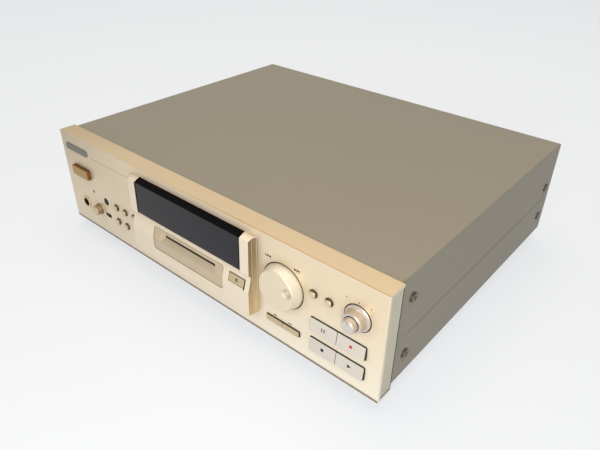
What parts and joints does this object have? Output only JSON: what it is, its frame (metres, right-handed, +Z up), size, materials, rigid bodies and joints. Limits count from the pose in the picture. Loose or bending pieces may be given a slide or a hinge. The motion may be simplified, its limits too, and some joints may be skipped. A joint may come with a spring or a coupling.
{
  "type": "minidisc deck",
  "caption": "Full-width hi-fi minidisc recorder with a champagne front, raised display and disc slot block, jog dial, level knobs and sheet-metal case.",
  "frame": {"origin": "centre of the bounding box's footprint, at the feet's underside", "axes": "+X to the deck's right seen from the front, +Y to the back, +Z up; the front panel faces -Y"},
  "size_m": [0.44, 0.3704, 0.123],
  "materials": {
    "front_aluminium": "fine satin anodised, champagne",
    "end_cap_plastic": "satin",
    "zinc_steel": "zinc plated",
    "rear_paint": "fine textured paint",
    "cover_paint": "fine textured metallic paint",
    "foot_plastic": "matt",
    "screw_steel": "plated",
    "block_plastic": "satin champagne paint",
    "smoked_window": "polished",
    "escutcheon_plastic": "satin champagne",
    "badge_paint": "satin dark grey",
    "lens_plastic": "frosted",
    "jack_brass": "plated",
    "sensor_plastic": "polished",
    "circuit_board": "laminate",
    "pot_metal": "plated",
    "tube_glass": "polished",
    "component_plastic": "satin",
    "transformer_iron": "varnished",
    "heat_sink_metal": "black anodised",
    "damper_rubber": "matt",
    "mechanism_steel": "zinc plated",
    "rod_chrome": "ground",
    "socket_plastic": "satin",
    "gold_button": "satin gold",
    "champagne_button": "satin champagne",
    "silver_button": "satin silver",
    "door_plastic": "satin brown",
    "switch_plastic": "satin",
    "jog_aluminium": "satin with a turned edge",
    "knob_metal": "turned and polished",
    "gear_plastic": "natural",
    "sled_metal": "die cast"
  },
  "bodies": {
    "root": {"front_fascia": "front_aluminium", "end_caps": "end_cap_plastic", "front_subpanel": "zinc_steel", "base_chassis": "zinc_steel", "rear_panel": "rear_paint", "top_cover": "cover_paint", "feet": "foot_plastic", "case_screws": "screw_steel", "display_housing": "block_plastic", "display_window": "smoked_window", "disc_slot_housing": "block_plastic", "slot_escutcheon": "escutcheon_plastic", "badge_plate": "badge_paint", "standby_lens": "lens_plastic", "phones_jack": "jack_brass", "ir_window": "sensor_plastic", "control_boards": "circuit_board", "control_pots": "pot_metal", "display_tube": "tube_glass", "main_circuit_board": "circuit_board", "board_components": "component_plastic", "power_transformer": "transformer_iron", "heat_sink": "heat_sink_metal", "mechanism_bracket": "zinc_steel", "mechanism_dampers": "damper_rubber", "mechanism_frame": "mechanism_steel", "mechanism_motors": "mechanism_steel", "guide_rods": "rod_chrome", "rca_jacks": "jack_brass", "optical_ports": "socket_plastic", "ac_inlet": "socket_plastic"},
    "power_button": {"power_button": "gold_button"},
    "eject_button": {"eject_button": "champagne_button"},
    "pause_button": {"pause_button": "silver_button"},
    "record_button": {"record_button": "silver_button"},
    "stop_button": {"stop_button": "silver_button"},
    "play_button": {"play_button": "silver_button"},
    "search_back_button": {"search_back_button": "champagne_button"},
    "search_forward_button": {"search_forward_button": "champagne_button"},
    "round_button_1": {"round_button_1": "gold_button"},
    "round_button_2": {"round_button_2": "gold_button"},
    "round_button_3": {"round_button_3": "gold_button"},
    "round_button_4": {"round_button_4": "gold_button"},
    "round_button_5": {"round_button_5": "gold_button"},
    "round_button_6": {"round_button_6": "silver_button"},
    "round_button_7": {"round_button_7": "silver_button"},
    "slot_door": {"slot_door": "door_plastic"},
    "phones_knob": {"phones_knob": "gold_button"},
    "timer_switch": {"timer_switch": "switch_plastic"},
    "jog_dial": {"jog_dial": "jog_aluminium"},
    "level_knob": {"level_knob": "knob_metal"},
    "balance_knob": {"balance_knob": "knob_metal"},
    "cartridge_holder": {"cartridge_holder": "mechanism_steel"},
    "slide_plate": {"slide_plate": "mechanism_steel"},
    "loading_gear": {"loading_gear": "gear_plastic"},
    "disc_spindle": {"disc_spindle": "rod_chrome"},
    "pickup_sled": {"pickup_sled": "sled_metal"},
    "lead_screw": {"lead_screw": "rod_chrome"},
    "head_arm": {"head_arm": "mechanism_steel"}
  },
  "joints": [
    {"name": "power_press", "type": "slide", "parent": "root", "child": "power_button", "axis": [0, 1, 0], "range_m": [0, 0.0024], "stiffness_N_per_m": 400, "springref_m": -0.001},
    {"name": "eject_press", "type": "slide", "parent": "root", "child": "eject_button", "axis": [0, 1, 0], "range_m": [0, 0.0012], "stiffness_N_per_m": 300, "springref_m": -0.001},
    {"name": "pause_press", "type": "slide", "parent": "root", "child": "pause_button", "axis": [0, 1, 0], "range_m": [0, 0.0012], "stiffness_N_per_m": 300, "springref_m": -0.001},
    {"name": "record_press", "type": "slide", "parent": "root", "child": "record_button", "axis": [0, 1, 0], "range_m": [0, 0.0012], "stiffness_N_per_m": 300, "springref_m": -0.001},
    {"name": "stop_press", "type": "slide", "parent": "root", "child": "stop_button", "axis": [0, 1, 0], "range_m": [0, 0.0012], "stiffness_N_per_m": 300, "springref_m": -0.001},
    {"name": "play_press", "type": "slide", "parent": "root", "child": "play_button", "axis": [0, 1, 0], "range_m": [0, 0.0012], "stiffness_N_per_m": 300, "springref_m": -0.001},
    {"name": "search_back_press", "type": "slide", "parent": "root", "child": "search_back_button", "axis": [0, 1, 0], "range_m": [0, 0.0012], "stiffness_N_per_m": 300, "springref_m": -0.001},
    {"name": "search_forward_press", "type": "slide", "parent": "root", "child": "search_forward_button", "axis": [0, 1, 0], "range_m": [0, 0.0012], "stiffness_N_per_m": 300, "springref_m": -0.001},
    {"name": "round_button_1_press", "type": "slide", "parent": "root", "child": "round_button_1", "axis": [0, 1, 0], "range_m": [0, 0.0012], "stiffness_N_per_m": 300, "springref_m": -0.001},
    {"name": "round_button_2_press", "type": "slide", "parent": "root", "child": "round_button_2", "axis": [0, 1, 0], "range_m": [0, 0.0012], "stiffness_N_per_m": 300, "springref_m": -0.001},
    {"name": "round_button_3_press", "type": "slide", "parent": "root", "child": "round_button_3", "axis": [0, 1, 0], "range_m": [0, 0.0012], "stiffness_N_per_m": 300, "springref_m": -0.001},
    {"name": "round_button_4_press", "type": "slide", "parent": "root", "child": "round_button_4", "axis": [0, 1, 0], "range_m": [0, 0.0012], "stiffness_N_per_m": 300, "springref_m": -0.001},
    {"name": "round_button_5_press", "type": "slide", "parent": "root", "child": "round_button_5", "axis": [0, 1, 0], "range_m": [0, 0.0012], "stiffness_N_per_m": 300, "springref_m": -0.001},
    {"name": "round_button_6_press", "type": "slide", "parent": "root", "child": "round_button_6", "axis": [0, 1, 0], "range_m": [0, 0.0012], "stiffness_N_per_m": 300, "springref_m": -0.001},
    {"name": "round_button_7_press", "type": "slide", "parent": "root", "child": "round_button_7", "axis": [0, 1, 0], "range_m": [0, 0.0012], "stiffness_N_per_m": 300, "springref_m": -0.001},
    {"name": "timer_slide", "type": "slide", "parent": "root", "child": "timer_switch", "axis": [1, 0, 0], "range_m": [-0.003, 0.003]},
    {"name": "phones_level_turn", "type": "hinge", "parent": "root", "child": "phones_knob", "pos_m": [-0.16556, -0.17095, 0.0405], "axis": [0, -1, 0], "range_deg": [-150, 150]},
    {"name": "jog_turn", "type": "hinge", "parent": "root", "child": "jog_dial", "pos_m": [0.11782, -0.17095, 0.078], "axis": [0, -1, 0], "continuous": true},
    {"name": "level_turn", "type": "hinge", "parent": "root", "child": "level_knob", "pos_m": [0.19396, -0.17095, 0.0873], "axis": [0, -1, 0], "range_deg": [-150, 150]},
    {"name": "balance_turn", "type": "hinge", "parent": "root", "child": "balance_knob", "pos_m": [0.19396, -0.17095, 0.0873], "axis": [0, -1, 0], "range_deg": [-150, 150]},
    {"name": "slot_door_swing", "type": "hinge", "parent": "root", "child": "slot_door", "pos_m": [0, -0.17355, 0.0674], "axis": [1, 0, 0], "range_deg": [0, 85], "stiffness_Nm_per_rad": 0.0006, "springref_deg": -22.92},
    {"name": "loading_slide", "type": "slide", "parent": "root", "child": "slide_plate", "axis": [0, 1, 0], "range_m": [0, 0.01]},
    {"name": "holder_drop", "type": "slide", "parent": "root", "child": "cartridge_holder", "axis": [0, 0, -1], "range_m": [0, 0.005]},
    {"name": "loading_gear_turn", "type": "hinge", "parent": "root", "child": "loading_gear", "pos_m": [-0.04, -0.11095, 0.0422], "axis": [-1, 0, 0], "range_deg": [0, 72]},
    {"name": "spindle_turn", "type": "hinge", "parent": "root", "child": "disc_spindle", "pos_m": [0, -0.11095, 0.055], "axis": [0, 0, 1], "continuous": true},
    {"name": "sled_travel", "type": "slide", "parent": "root", "child": "pickup_sled", "axis": [1, 0, 0], "range_m": [0, 0.016]},
    {"name": "lead_screw_turn", "type": "hinge", "parent": "root", "child": "lead_screw", "pos_m": [0, -0.10195, 0.051], "axis": [1, 0, 0], "range_deg": [0, 1921]},
    {"name": "head_arm_drop", "type": "hinge", "parent": "pickup_sled", "child": "head_arm", "pos_m": [0.0415, -0.11095, 0.07], "axis": [0, -1, 0], "range_deg": [0, 18], "stiffness_Nm_per_rad": 0.002, "springref_deg": -17.19}
  ],
  "couplings": [
    {"joint": "holder_drop", "follows": "loading_slide", "ratio": 0.5},
    {"joint": "loading_gear_turn", "follows": "loading_slide", "rad_per_m": 125},
    {"joint": "lead_screw_turn", "follows": "sled_travel", "rad_per_m": 2094.4}
  ]
}
